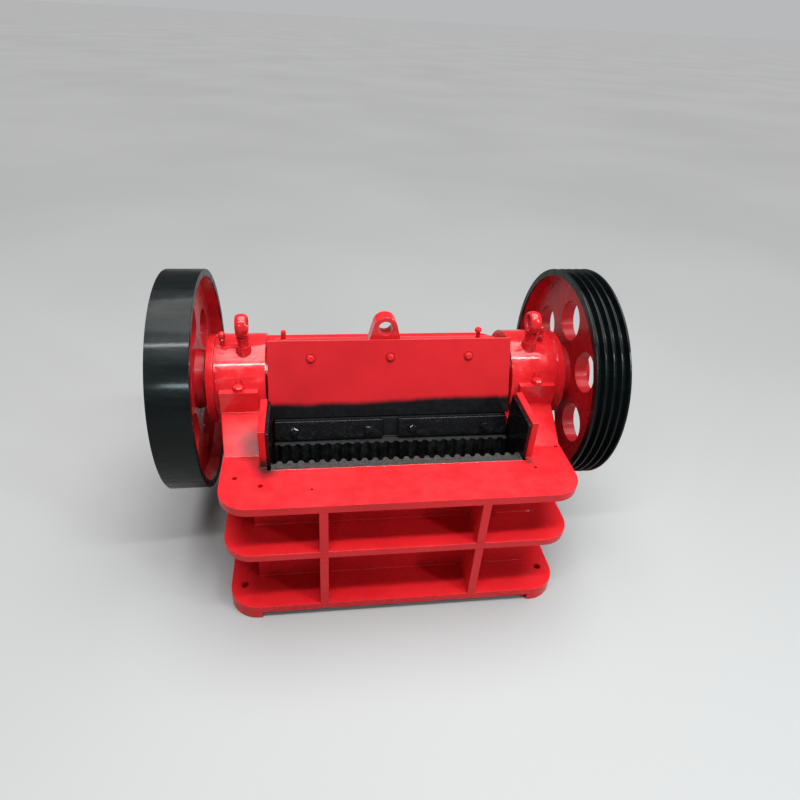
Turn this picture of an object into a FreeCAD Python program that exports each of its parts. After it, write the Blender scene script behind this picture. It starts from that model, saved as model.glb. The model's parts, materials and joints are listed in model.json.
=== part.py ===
import FreeCAD, Part
import math
import os

# Single-toggle jaw crusher with a wide, short feed mouth, in millimetres.
# The origin is the centre of the four foundation bolt holes, at ground level. +Z is up,
# +X runs along the crusher's shaft towards the belt pulley, and -Y is the feed side.
# Pieces at the left are at -X, pieces at the right at +X.

V = FreeCAD.Vector
ALONG_X = V(1, 0, 0)
ALONG_Y = V(0, 1, 0)
ALONG_Z = V(0, 0, 1)
ORIGIN = V(0, 0, 0)

# ---------------------------------------------------------------- driving dimensions

# frame: a welded box of four walls, with three flanges around it and ribs between them
FRAME_LENGTH = 980.0
FLANGE_HALF_WIDTH = 514.0
FLANGE_THICKNESS = 25.0
FLANGE_CORNER_R = 88.0
BOTTOM_FLANGE_TOP = 49.0
MIDDLE_FLANGE_TOP = 274.0
TOP_FLANGE_TOP = 452.0
END_WALL_HALF_WIDTH = 430.0
END_WALL_THICKNESS = 34.0
END_WALL_SETBACK = 119.0
SIDE_PLATE_INNER = 385.0
SIDE_PLATE_THICKNESS = 20.0
RIB_THICKNESS = 25.0
END_RIB_X = 228.0
SIDE_RIB_Y = 228.0
FIT_GAP = 0.2
# small holes drilled through the top flange, as (x, y, radius)
SMALL_HOLES = ((-400, -400, 7), (-473, -364, 7), (-259, -422, 4), (402, -370, 5), (499, -277, 5))

# feet and foundation bolts
FOOT_INNER_X = 415.0
FOOT_LENGTH = 122.0
BOLT_X = 473.0
BOLT_Y = 403.0
BOLT_HOLE_R = 11.0

# shaft and the wheels on it
SHAFT_Y = 45.0
SHAFT_Z = 530.0
SHAFT_JAW_R = 60.0
SHAFT_JOURNAL_R = 55.0
SHAFT_END_R = 45.0
SHAFT_CHAMFER = 3.0
RUNNING_CLEARANCE = 0.05
WHEEL_R = 354.0
FLYWHEEL_INNER = 580.0
FLYWHEEL_OUTER = 699.0
PULLEY_INNER = 576.5
GROOVE_COUNT = 4
GROOVE_PITCH = 25.5
GROOVE_DEPTH = 19.0
GROOVE_TOP_WIDTH = 21.5
GROOVE_BOTTOM_WIDTH = 10.0
RIM_SIDE_HEIGHT = 22.0
RIM_DRAFT = 14.0
WEB_THICKNESS = 42.0
WEB_RECESS = 38.0
WEB_HOLE_COUNT = 6
WEB_HOLE_R = 66.0
WEB_HOLE_CIRCLE_R = 197.0
HUB_R = 92.0
HUB_INNER = 588.0

# bearing housings, their saddles and the sloped plates in front of and behind them
HOUSING_R = 147.0
HOUSING_INNER = 395.0
HOUSING_RECESS_R = 120.0
HOUSING_RECESS_INNER_R = 82.0
HOUSING_RECESS_DEPTH = 14.0
HOUSING_OUTER = 545.0
COVER_NECK_R = 139.0
COVER_R = 144.0
COVER_NECK_END = 553.0
COVER_OUTER = 577.0
EAR_INNER = 418.0
EAR_OUTER = 534.0
EAR_REACH = 161.0
EAR_BOTTOM = 500.0
EAR_TOP = 573.0
EAR_BOLT_REACH = 144.0
EAR_SPOTFACE_R = 17.0
SADDLE_WALL = 20.0
EAR_BOLT_X = 476.0
EYE_BOLT_X = 460.0
EYE_BOLT_FORWARD = 58.0
EYE_BOSS_R = 24.0
EYE_BOSS_TOP = 674.0
EYE_RING_Z = 752.0
EYE_RING_R = 28.0
EYE_RING_HALF_HEIGHT = 7.5
EYE_RING_HALF_WIDTH = 18.0
EYE_STEM_R = 16.0
EYE_SHOULDER_R = 21.0
EYE_SHOULDER_Z = 715.0
EYE_COLLAR_R = 23.0
EYE_COLLAR_HEIGHT = 9.0
RAMP_THICKNESS = 16.0
RAMP_FOOT_REACH = 316.0
RAMP_BEND_REACH = 241.0
RAMP_BEND_Z = 480.0
RAMP_FOOT_OUTER = 512.0
GUSSET_INNER = 494.0
GUSSET_THICKNESS = 14.0

# crushing chamber
MOUTH_WIDTH = 750.0
CHEEK_THICKNESS = 10.0
JAW_PLATE_THICKNESS = 40.0
TOOTH_COUNT = 24
TOOTH_DEPTH = 13.0
FIXED_PLATE_BOTTOM = 150.0
LEDGE_DEPTH = 26.0
LEDGE_HEIGHT = 18.0
SIDE_FRONT = -325.0
SIDE_FRONT_TOP = 580.0
SIDE_REAR = -163.0
SIDE_REAR_TOP = 582.0
SIDE_LOW_Y = -146.0
SIDE_LOW_TOP = 462.0
CHEEK_DROP = 8.0
CHEEK_CLEARANCE = 14.0
CHEEK_FOOT_SETBACK = 49.0
DISCHARGE_GAP = 25.0
DISCHARGE_Z = 165.0
MOVING_PLATE_TOP = 432.5
MOVING_PLATE_TILT = 14.4

# swing jaw: s runs up along its sloped face, n runs out of it, both from the shaft's axis
FACE_TILT = 21.4
JAW_HEAD_R = 128.0
JAW_HALF_WIDTH = 369.0
HEAD_FACE_N = 120.0
HEAD_PLATE_N = 136.0
HEAD_PLATE_TOP_S = 136.0
HEAD_PLATE_BOTTOM_S = -110.0
HEAD_PLATE_HALF_WIDTH = 388.0
BAR_BACK_N = 147.0
BAR_FRONT_N = 172.0
BAR_TOP_S = -112.0
BAR_BOTTOM_S = -175.0
BAR_LEFT_END = -33.0
BAR_RIGHT_START = 18.0
JAW_WEB_THICKNESS = 60.0
JAW_BOTTOM = 136.0
JAW_TOE_DEPTH = 16.0
JAW_RIB_THICKNESS = 24.0
JAW_RIB_X = (-357.0, -120.0, 120.0, 357.0)
JAW_RIB_TOP_Y = 94.0
JAW_RIB_TOP_Z = 412.0
LUG_X = -18.0
LUG_FRONT = -16.0
LUG_THICKNESS = 50.0
LUG_EYE_Z = 736.0
LUG_OUTER_R = 38.0
LUG_HOLE_R = 23.0
LUG_BASE_HALF_WIDTH = 52.0
LUG_BASE_BOTTOM = 640.0
LUG_BASE_TOP = 687.5
LUG_FLANK_ANGLE = 17.5

# toggle, its adjustable seat and the two sprung tension rods under it
TOGGLE_HALF_WIDTH = 255.0
TOGGLE_END_R = 14.0
TOGGLE_FRONT_Y = -122.0
TOGGLE_FRONT_Z = 195.0
TOGGLE_REAR_Y = 152.0
TOGGLE_REAR_Z = 235.0
TOGGLE_NOSE_OUT = 3.5
JAW_SEAT_HALF_WIDTH = 270.0
JAW_SEAT_HALF_HEIGHT = 40.0
FRONT_GROOVE_R = 20.0
FRONT_GROOVE_Y = -118.0
REAR_GROOVE_R = 16.0
SEAT_BOTTOM = 175.0
SEAT_TOP = 300.0
WEDGE_SLOPE = 22.0
WEDGE_TOP_Y = 240.0
ROD_X = 180.0
ROD_Z = 105.0
ROD_R = 11.0
ROD_REAR = 478.0
ROD_HOLE_R = 17.0
PIN_Y = -160.0
PIN_Z = 105.0
PIN_R = 9.0
PIN_HALF_LENGTH = 36.0
PIN_EAR_THICKNESS = 14.0
PIN_EAR_HALF_LENGTH = 22.0
PIN_EAR_BOTTOM = 85.0
ROD_EYE_FRONT = -195.0
ROD_EYE_REAR = -129.0
ROD_EYE_HALF_HEIGHT = 22.0
ROD_EYE_THICKNESS = 24.0
ROD_SLOT_FRONT = -181.0
ROD_SLOT_REAR = -149.0
ROD_SLOT_HALF_HEIGHT = 15.0
SPRING_R = 30.0
SPRING_WIRE = 9.0
SPRING_END = 446.0
WASHER_R = 33.0
WASHER_THICKNESS = 6.0
NUT_R = 20.0
NUT_THICKNESS = 16.0

# sizes that follow from the ones above
HALF_LENGTH = FRAME_LENGTH / 2
WALL_OUTER_Y = HALF_LENGTH - END_WALL_SETBACK
WALL_INNER_Y = WALL_OUTER_Y - END_WALL_THICKNESS
SIDE_PLATE_OUTER = SIDE_PLATE_INNER + SIDE_PLATE_THICKNESS
FOOT_THICKNESS = BOTTOM_FLANGE_TOP - FLANGE_THICKNESS
BAYS = (
    (BOTTOM_FLANGE_TOP, MIDDLE_FLANGE_TOP - FLANGE_THICKNESS),
    (MIDDLE_FLANGE_TOP, TOP_FLANGE_TOP - FLANGE_THICKNESS),
)
CHEEK_INNER = MOUTH_WIDTH / 2
PULLEY_OUTER = PULLEY_INNER + GROOVE_PITCH * (GROOVE_COUNT + 1 / 3)
FIXED_TIP_Y = -WALL_INNER_Y + JAW_PLATE_THICKNESS
SADDLE_R = HOUSING_R + 0.4
TILT = math.radians(FACE_TILT)
PLATE_TILT = math.radians(MOVING_PLATE_TILT)


# ---------------------------------------------------------------- shape helpers

def box(x0, x1, y0, y1, z0, z1):
    """A block between two values on each axis."""
    return Part.makeBox(x1 - x0, y1 - y0, z1 - z0, V(x0, y0, z0))


def rod_x(radius, x0, x1, y=SHAFT_Y, z=SHAFT_Z):
    """A cylinder along X, on the shaft's axis unless told otherwise."""
    return Part.makeCylinder(radius, x1 - x0, V(x0, y, z), ALONG_X)


def rod_y(radius, y0, y1, x, z):
    """A cylinder along Y."""
    return Part.makeCylinder(radius, y1 - y0, V(x, y0, z), ALONG_Y)


def rod_z(radius, z0, z1, x, y):
    """A cylinder along Z."""
    return Part.makeCylinder(radius, z1 - z0, V(x, y, z0), ALONG_Z)


def prism_x(outline, x0, x1):
    """An outline of (y, z) points, extruded along X."""
    points = [V(x0, y, z) for y, z in outline]
    face = Part.Face(Part.makePolygon(points + points[:1]))
    return face.extrude(ALONG_X * (x1 - x0))


def prism_z(outline, z0, z1):
    """An outline of (x, y) points, extruded along Z."""
    points = [V(x, y, z0) for x, y in outline]
    face = Part.Face(Part.makePolygon(points + points[:1]))
    return face.extrude(ALONG_Z * (z1 - z0))


def turned(outline):
    """An outline of (x, radius) points, turned about the shaft's axis."""
    points = [V(x, SHAFT_Y, SHAFT_Z + radius) for x, radius in outline]
    face = Part.Face(Part.makePolygon(points + points[:1]))
    return face.revolve(V(0, SHAFT_Y, SHAFT_Z), ALONG_X, 360)


def joined(shapes):
    """Several overlapping solids as one."""
    return shapes[0].multiFuse(shapes[1:]).removeSplitter()


def other_side(shape):
    """The same piece at the other end of the shaft."""
    return shape.mirror(ORIGIN, ALONG_X)


def behind(shape):
    """The same piece at the other side of the shaft."""
    return shape.mirror(V(0, SHAFT_Y, 0), ALONG_Y)


def at_rear(shape):
    """The same piece at the rear of the frame."""
    return shape.mirror(ORIGIN, ALONG_Y)


def face_point(s, n):
    """The (y, z) of a point s up along the swing jaw's face and n out of it."""
    y = SHAFT_Y + s * math.sin(TILT) - n * math.cos(TILT)
    z = SHAFT_Z + s * math.cos(TILT) + n * math.sin(TILT)
    return y, z


def face_slab(s0, s1, n0, n1, x0, x1):
    """A slab that lies along the swing jaw's face."""
    outline = [face_point(s0, n0), face_point(s1, n0), face_point(s1, n1), face_point(s0, n1)]
    return prism_x(outline, x0, x1)


def moving_plate_point(z, depth):
    """The (y, z) of a point on the moving jaw plate, depth behind the tips of its teeth."""
    tip_y = FIXED_TIP_Y + DISCHARGE_GAP + (z - DISCHARGE_Z) * math.tan(PLATE_TILT)
    return tip_y + depth * math.cos(PLATE_TILT), z - depth * math.sin(PLATE_TILT)


# ---------------------------------------------------------------- frame

def flange_outline(z0, z1):
    """The outline that the three flanges and the feet share, with round corners."""
    slab = box(-FLANGE_HALF_WIDTH, FLANGE_HALF_WIDTH, -HALF_LENGTH, HALF_LENGTH, z0, z1)
    upright = [edge for edge in slab.Edges if abs(edge.Length - (z1 - z0)) < 0.01]
    return slab.makeFillet(FLANGE_CORNER_R, upright)


def foundation_holes():
    """The four foundation bolt holes, as cutters."""
    places = [(x, y) for x in (-BOLT_X, BOLT_X) for y in (-BOLT_Y, BOLT_Y)]
    return [rod_z(BOLT_HOLE_R, -1, BOTTOM_FLANGE_TOP + 1, x, y) for x, y in places]


def walls_cutter(z0, z1):
    """The room that the four walls take where they pass through a flange."""
    sides = box(-SIDE_PLATE_OUTER, SIDE_PLATE_OUTER, -WALL_OUTER_Y, WALL_OUTER_Y, z0, z1)
    ends = [
        box(-END_WALL_HALF_WIDTH, END_WALL_HALF_WIDTH, y0, y0 + END_WALL_THICKNESS, z0, z1)
        for y0 in (-WALL_OUTER_Y, WALL_INNER_Y)
    ]
    return joined([sides] + ends)


def lower_flange(top):
    """A flange around all four walls."""
    slab = flange_outline(top - FLANGE_THICKNESS, top)
    return slab.cut(walls_cutter(top - FLANGE_THICKNESS - 1, top + 1))


def top_flange():
    """The flange around the feed mouth, let in for the two bearing saddles."""
    bottom = TOP_FLANGE_TOP - FLANGE_THICKNESS
    slab = flange_outline(bottom, TOP_FLANGE_TOP)
    opening = box(
        -SIDE_PLATE_OUTER, SIDE_PLATE_OUTER, -WALL_INNER_Y, WALL_INNER_Y, bottom - 1, TOP_FLANGE_TOP + 1
    )
    saddle_room = rod_x(SADDLE_R + SADDLE_WALL + FIT_GAP, SIDE_PLATE_OUTER, EAR_OUTER)
    drilled = [rod_z(radius, bottom - 1, TOP_FLANGE_TOP + 1, x, y) for x, y, radius in SMALL_HOLES]
    return slab.cut([opening, saddle_room, other_side(saddle_room)] + drilled)


def end_wall():
    """The front wall, up to the underside of the top flange."""
    top = TOP_FLANGE_TOP - FLANGE_THICKNESS
    return box(
        -END_WALL_HALF_WIDTH, END_WALL_HALF_WIDTH, -WALL_OUTER_Y, -WALL_INNER_Y, FOOT_THICKNESS, top
    )


def front_wall():
    """The front wall, with the ledge that the fixed jaw plate stands on."""
    ledge = box(
        -CHEEK_INNER, CHEEK_INNER, -WALL_INNER_Y, -WALL_INNER_Y + LEDGE_DEPTH,
        FIXED_PLATE_BOTTOM - LEDGE_HEIGHT, FIXED_PLATE_BOTTOM
    )
    return joined([end_wall(), ledge])


def rear_wall():
    """The rear wall, drilled for the two tension rods."""
    holes = [rod_y(ROD_HOLE_R, WALL_INNER_Y - 1, WALL_OUTER_Y + 1, x, ROD_Z) for x in (-ROD_X, ROD_X)]
    return at_rear(end_wall()).cut(holes)


def side_plate():
    """The left side wall, which rises past the flange beside the mouth to the bearing."""
    outline = [
        (-WALL_INNER_Y, FOOT_THICKNESS),
        (-WALL_INNER_Y, TOP_FLANGE_TOP),
        (SIDE_FRONT, TOP_FLANGE_TOP),
        (SIDE_FRONT, SIDE_FRONT_TOP),
        (SIDE_REAR, SIDE_REAR_TOP),
        (SIDE_LOW_Y, SIDE_LOW_TOP),
        (WALL_INNER_Y, SIDE_LOW_TOP),
        (WALL_INNER_Y, FOOT_THICKNESS),
    ]
    plate = prism_x(outline, -SIDE_PLATE_OUTER, -SIDE_PLATE_INNER)
    seat = rod_x(SADDLE_R, -SIDE_PLATE_OUTER - 1, -SIDE_PLATE_INNER + 1)
    return plate.cut(seat)


def end_rib(x):
    """An upright rib on the front wall, in the lower and the upper bay."""
    half = RIB_THICKNESS / 2
    return [box(x - half, x + half, -HALF_LENGTH, -WALL_OUTER_Y, z0, z1) for z0, z1 in BAYS]


def side_rib(y):
    """An upright rib on the left side plate, in the lower and the upper bay."""
    half = RIB_THICKNESS / 2
    return [box(-FLANGE_HALF_WIDTH, -SIDE_PLATE_OUTER, y - half, y + half, z0, z1) for z0, z1 in BAYS]


def foot_pad(x_side, y_side):
    """The plate under one corner of the bottom flange."""
    pad = flange_outline(0, FOOT_THICKNESS)
    x_ends = sorted((x_side * FOOT_INNER_X, x_side * FLANGE_HALF_WIDTH))
    y_ends = sorted((y_side * (HALF_LENGTH - FOOT_LENGTH), y_side * HALF_LENGTH))
    corner = box(*x_ends, *y_ends, 0, FOOT_THICKNESS)
    return pad.common(corner).cut(foundation_holes())


# ---------------------------------------------------------------- bearings

def bearing_saddle():
    """The half-round seat that carries the left bearing housing, with a post under it."""
    x0, x1 = -EAR_OUTER, -SIDE_PLATE_OUTER
    block = box(
        x0, x1, SHAFT_Y - EAR_REACH, SHAFT_Y + EAR_REACH, TOP_FLANGE_TOP, EAR_BOTTOM
    )
    cradle = rod_x(SADDLE_R + SADDLE_WALL, x0, x1).common(
        box(x0, x1, SHAFT_Y - EAR_REACH, SHAFT_Y + EAR_REACH, MIDDLE_FLANGE_TOP, EAR_BOTTOM)
    )
    half = RIB_THICKNESS / 2
    post_top = SHAFT_Z - SADDLE_R - SADDLE_WALL / 2
    post = box(
        -FLANGE_HALF_WIDTH, x1, SHAFT_Y - half, SHAFT_Y + half, MIDDLE_FLANGE_TOP, post_top
    )
    return joined([block, cradle, post]).cut(rod_x(SADDLE_R, x0 - 1, x1 + 1))


def bearing_housing():
    """The left bearing's round housing, with a bolted ear in front and behind."""
    drum = rod_x(HOUSING_R, -HOUSING_OUTER, -HOUSING_INNER)
    y0, y1 = SHAFT_Y - EAR_REACH, SHAFT_Y - EAR_REACH / 2
    ear = box(-EAR_OUTER, -EAR_INNER, y0, y1, EAR_BOTTOM, EAR_TOP)
    boss = rod_z(EYE_BOSS_R, SHAFT_Z, EYE_BOSS_TOP, -EYE_BOLT_X, SHAFT_Y - EYE_BOLT_FORWARD)
    spotface = rod_z(
        EAR_SPOTFACE_R, EAR_TOP, EAR_TOP + HOUSING_R, -EAR_BOLT_X, SHAFT_Y - EAR_BOLT_REACH
    )
    body = joined([drum, ear, behind(ear), boss])
    bore = rod_x(SHAFT_JOURNAL_R + RUNNING_CLEARANCE, -HOUSING_OUTER - 1, -HOUSING_INNER + 1)
    recess_end = -HOUSING_INNER - HOUSING_RECESS_DEPTH
    recess = rod_x(HOUSING_RECESS_R, recess_end, -HOUSING_INNER + 1)
    recess = recess.cut(rod_x(HOUSING_RECESS_INNER_R, recess_end, -HOUSING_INNER + 1))
    return body.cut([bore, recess, spotface, behind(spotface)])


def bearing_cover():
    """The left bearing's outer cover, with a rim."""
    bore = SHAFT_JOURNAL_R + RUNNING_CLEARANCE
    return turned([
        (-HOUSING_OUTER, bore), (-HOUSING_OUTER, COVER_NECK_R), (-COVER_NECK_END, COVER_NECK_R),
        (-COVER_NECK_END, COVER_R), (-COVER_OUTER, COVER_R), (-COVER_OUTER, bore),
    ])


def eye_bolt():
    """A lifting eye bolt on the left housing, its wide ring facing along the shaft."""
    y = SHAFT_Y - EYE_BOLT_FORWARD
    section = Part.Ellipse(
        V(-EYE_BOLT_X + EYE_RING_HALF_WIDTH, y, EYE_RING_Z + EYE_RING_R),
        V(-EYE_BOLT_X, y, EYE_RING_Z + EYE_RING_R + EYE_RING_HALF_HEIGHT),
        V(-EYE_BOLT_X, y, EYE_RING_Z + EYE_RING_R)
    )
    ring = Part.Face(Part.Wire(section.toShape())).revolve(V(0, y, EYE_RING_Z), ALONG_X, 360)
    stem = rod_z(EYE_STEM_R, EYE_BOSS_TOP, EYE_RING_Z - EYE_RING_R, -EYE_BOLT_X, y)
    shoulder_foot = V(-EYE_BOLT_X, y, EYE_SHOULDER_Z - EYE_SHOULDER_R)
    shoulder = Part.makeCone(EYE_STEM_R, EYE_SHOULDER_R, EYE_SHOULDER_R, shoulder_foot, ALONG_Z)
    collar = rod_z(EYE_COLLAR_R, EYE_BOSS_TOP, EYE_BOSS_TOP + EYE_COLLAR_HEIGHT, -EYE_BOLT_X, y)
    return joined([ring, stem, shoulder, collar])


def ramp_plate():
    """The bent plate that rises from the flange to the left bearing's seat, and its gusset."""
    seat_y = SHAFT_Y - EAR_REACH
    foot_y = SHAFT_Y - RAMP_FOOT_REACH
    bend_y = SHAFT_Y - RAMP_BEND_REACH
    plate = prism_x(
        [
            (foot_y, TOP_FLANGE_TOP), (bend_y, RAMP_BEND_Z), (seat_y, EAR_BOTTOM),
            (seat_y, EAR_BOTTOM - RAMP_THICKNESS), (bend_y, RAMP_BEND_Z - RAMP_THICKNESS),
            (foot_y + 2 * RAMP_THICKNESS, TOP_FLANGE_TOP),
        ],
        -EAR_OUTER, -SIDE_PLATE_OUTER
    )
    plan = prism_z(
        [
            (-SIDE_PLATE_OUTER, foot_y), (-RAMP_FOOT_OUTER, foot_y),
            (-EAR_OUTER, seat_y), (-SIDE_PLATE_OUTER, seat_y),
        ],
        TOP_FLANGE_TOP, EAR_BOTTOM
    )
    gusset = prism_x(
        [
            (foot_y + RAMP_THICKNESS, TOP_FLANGE_TOP), (bend_y, RAMP_BEND_Z - RAMP_THICKNESS / 2),
            (seat_y, EAR_BOTTOM - RAMP_THICKNESS / 2), (seat_y, TOP_FLANGE_TOP),
        ],
        -GUSSET_INNER - GUSSET_THICKNESS, -GUSSET_INNER
    )
    return joined([plate.common(plan), gusset])


# ---------------------------------------------------------------- crushing chamber

def toothed_plate(width, height):
    """A jaw plate with upright wavy teeth towards -Y: its back on y = 0, its foot on z = 0."""
    half_pitch = width / TOOTH_COUNT / 2
    middle = TOOTH_DEPTH / 2 - JAW_PLATE_THICKNESS
    edges = []
    for half_wave in range(2 * TOOTH_COUNT):
        x0 = -width / 2 + half_wave * half_pitch
        bulge = -TOOTH_DEPTH / 2 if half_wave % 2 else TOOTH_DEPTH / 2
        arc = Part.Arc(
            V(x0, middle, 0), V(x0 + half_pitch / 2, middle + bulge, 0), V(x0 + half_pitch, middle, 0)
        )
        edges.append(arc.toShape())
    half = width / 2
    corners = [V(half, middle, 0), V(half, 0, 0), V(-half, 0, 0), V(-half, middle, 0)]
    edges += [Part.makeLine(start, end) for start, end in zip(corners, corners[1:])]
    return Part.Face(Part.Wire(edges)).extrude(ALONG_Z * height)


def fixed_jaw_plate():
    """The toothed plate on the front wall, flush with the top flange."""
    plate = at_rear(toothed_plate(MOUTH_WIDTH - 1, TOP_FLANGE_TOP - FIXED_PLATE_BOTTOM))
    plate.translate(V(0, -WALL_INNER_Y, FIXED_PLATE_BOTTOM))
    return plate


def cheek_plate():
    """The liner inside the left side plate, cut back along the swing jaw's face."""
    bar_y, bar_z = face_point(BAR_BOTTOM_S, HEAD_PLATE_N + CHEEK_CLEARANCE)
    outline = [
        (SIDE_FRONT, FIXED_PLATE_BOTTOM), (SIDE_FRONT, SIDE_FRONT_TOP - CHEEK_DROP),
        (SIDE_REAR, SIDE_REAR_TOP - CHEEK_DROP), (bar_y, bar_z),
        (bar_y - CHEEK_FOOT_SETBACK, FIXED_PLATE_BOTTOM),
    ]
    return prism_x(outline, -SIDE_PLATE_INNER, -CHEEK_INNER)


# ---------------------------------------------------------------- swing jaw

def swing_jaw():
    """The swing jaw's casting: a round head on the shaft, a leaning web, ribs and two seats."""
    x0, x1 = -JAW_HALF_WIDTH, JAW_HALF_WIDTH
    head = rod_x(JAW_HEAD_R, x0, x1)
    plate_top = moving_plate_point(MOVING_PLATE_TOP, JAW_PLATE_THICKNESS)
    plate_foot = moving_plate_point(DISCHARGE_Z, JAW_PLATE_THICKNESS + FIT_GAP)
    toe = moving_plate_point(DISCHARGE_Z, JAW_TOE_DEPTH)
    back = JAW_WEB_THICKNESS
    web = prism_x(
        [
            face_point(0, HEAD_FACE_N), face_point(BAR_TOP_S, HEAD_FACE_N),
            face_point(BAR_TOP_S, BAR_BACK_N), face_point(BAR_BOTTOM_S, BAR_BACK_N),
            plate_top, plate_foot, (toe[0], toe[1] - 1), (toe[0], JAW_BOTTOM),
            (plate_foot[0] + back, JAW_BOTTOM), (plate_top[0] + back, plate_top[1] - back / 2),
            (SHAFT_Y - JAW_HEAD_R / 2, SHAFT_Z - JAW_HEAD_R / 2),
        ],
        x0, x1
    )
    seat_y = TOGGLE_FRONT_Y + TOGGLE_NOSE_OUT
    seat_bottom = TOGGLE_FRONT_Z - JAW_SEAT_HALF_HEIGHT
    seat_top = TOGGLE_FRONT_Z + JAW_SEAT_HALF_HEIGHT
    seat = box(
        -JAW_SEAT_HALF_WIDTH, JAW_SEAT_HALF_WIDTH, plate_foot[0] + back / 2, seat_y,
        seat_bottom, seat_top
    )
    rib_outline = [
        (plate_foot[0] + back / 2, JAW_BOTTOM), (plate_foot[0] + back, JAW_BOTTOM),
        (seat_y, seat_bottom), (seat_y, seat_top), (JAW_RIB_TOP_Y, JAW_RIB_TOP_Z), (SHAFT_Y, SHAFT_Z),
        (plate_top[0] + back / 2, plate_top[1]),
    ]
    half = JAW_RIB_THICKNESS / 2
    ribs = [prism_x(rib_outline, x - half, x + half) for x in JAW_RIB_X]
    flat = face_slab(-JAW_HEAD_R, JAW_HEAD_R, HEAD_FACE_N, JAW_HEAD_R, x0 - 1, x1 + 1)
    body = joined([head.cut(flat), web, seat] + ribs)
    groove = rod_x(FRONT_GROOVE_R, x0, x1, FRONT_GROOVE_Y, TOGGLE_FRONT_Z)
    bore = rod_x(SHAFT_JAW_R + RUNNING_CLEARANCE, x0 - 1, x1 + 1)
    return body.cut([bore, groove])


def rod_lug(x):
    """The forked lug under the swing jaw that a tension rod hooks on, with its pin."""
    pin = rod_x(PIN_R, x - PIN_HALF_LENGTH, x + PIN_HALF_LENGTH, PIN_Y, PIN_Z)
    outer = PIN_HALF_LENGTH - 2
    ears = [
        box(
            x0, x0 + PIN_EAR_THICKNESS, PIN_Y - PIN_EAR_HALF_LENGTH, PIN_Y + PIN_EAR_HALF_LENGTH,
            PIN_EAR_BOTTOM, JAW_BOTTOM
        )
        for x0 in (x - outer, x + outer - PIN_EAR_THICKNESS)
    ]
    return joined([pin] + ears)


def head_plate():
    """The plate bolted over the front of the swing jaw's head."""
    return face_slab(
        HEAD_PLATE_BOTTOM_S, HEAD_PLATE_TOP_S, HEAD_FACE_N, HEAD_PLATE_N,
        -HEAD_PLATE_HALF_WIDTH, HEAD_PLATE_HALF_WIDTH
    )


def clamp_bar(x0, x1):
    """A bar that clamps the moving jaw plate's top edge."""
    bar = face_slab(BAR_BOTTOM_S, BAR_TOP_S, BAR_BACK_N, BAR_FRONT_N, x0, x1)
    front = [edge for edge in bar.Edges if abs(edge.Length - (x1 - x0)) < 0.1]
    front.sort(key=lambda edge: edge.CenterOfMass.y)
    return bar.makeChamfer(5, front[:1])


def moving_jaw_plate():
    """The toothed plate on the swing jaw, leaning back with it."""
    height = (MOVING_PLATE_TOP - DISCHARGE_Z) / math.cos(PLATE_TILT)
    plate = toothed_plate(2 * JAW_HALF_WIDTH, height)
    plate.rotate(ORIGIN, ALONG_X, -MOVING_PLATE_TILT)
    y, z = moving_plate_point(DISCHARGE_Z, JAW_PLATE_THICKNESS)
    plate.translate(V(0, y, z))
    return plate


def lifting_lug():
    """The cast lifting eye on top of the swing jaw's head."""
    y1 = LUG_FRONT + LUG_THICKNESS
    x0, x1 = LUG_X - LUG_BASE_HALF_WIDTH, LUG_X + LUG_BASE_HALF_WIDTH
    base = box(x0, x1, LUG_FRONT, y1, LUG_BASE_BOTTOM, LUG_BASE_TOP)
    side_x = LUG_OUTER_R * math.cos(math.radians(LUG_FLANK_ANGLE))
    side_z = LUG_EYE_Z + LUG_OUTER_R * math.sin(math.radians(LUG_FLANK_ANGLE))
    flank = [
        V(x0, LUG_FRONT, LUG_BASE_TOP), V(LUG_X - side_x, LUG_FRONT, side_z),
        V(LUG_X + side_x, LUG_FRONT, side_z), V(x1, LUG_FRONT, LUG_BASE_TOP),
    ]
    cheeks = Part.Face(Part.makePolygon(flank + flank[:1])).extrude(ALONG_Y * LUG_THICKNESS)
    arch = rod_y(LUG_OUTER_R, LUG_FRONT, y1, LUG_X, LUG_EYE_Z)
    eye = rod_y(LUG_HOLE_R, LUG_FRONT - 1, y1 + 1, LUG_X, LUG_EYE_Z)
    head = rod_x(JAW_HEAD_R, -JAW_HALF_WIDTH, JAW_HALF_WIDTH)
    return joined([base, cheeks, arch]).cut([eye, head])


# ---------------------------------------------------------------- shaft and wheels

def shaft():
    """The crusher's shaft, stepped down towards the wheels."""
    left, right = -FLYWHEEL_OUTER, PULLEY_OUTER
    step = SIDE_PLATE_INNER
    chamfer = SHAFT_END_R - SHAFT_CHAMFER
    return turned([
        (left, 0), (left, chamfer), (left + SHAFT_CHAMFER, SHAFT_END_R), (-HUB_INNER, SHAFT_END_R),
        (-HUB_INNER, SHAFT_JOURNAL_R), (-step, SHAFT_JOURNAL_R), (-step, SHAFT_JAW_R),
        (step, SHAFT_JAW_R), (step, SHAFT_JOURNAL_R), (HUB_INNER, SHAFT_JOURNAL_R),
        (HUB_INNER, SHAFT_END_R), (right - SHAFT_CHAMFER, SHAFT_END_R), (right, chamfer), (right, 0),
    ])


def wheel_outline(inner, outer, tread):
    """Half of a wheel's section: tread, rim sides, recessed web and hub, all at +X."""
    web_in = inner + WEB_RECESS
    web_out = web_in + WEB_THICKNESS
    rim = WHEEL_R - RIM_SIDE_HEIGHT
    return [(HUB_INNER, SHAFT_END_R), (HUB_INNER, HUB_R), (web_in, HUB_R + RIM_DRAFT / 2),
            (web_in, rim - RIM_DRAFT), (inner, rim)] + tread + [
            (outer, rim), (web_out, rim - RIM_DRAFT), (web_out, HUB_R + RIM_DRAFT / 2),
            (outer, HUB_R), (outer, SHAFT_END_R)]


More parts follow.
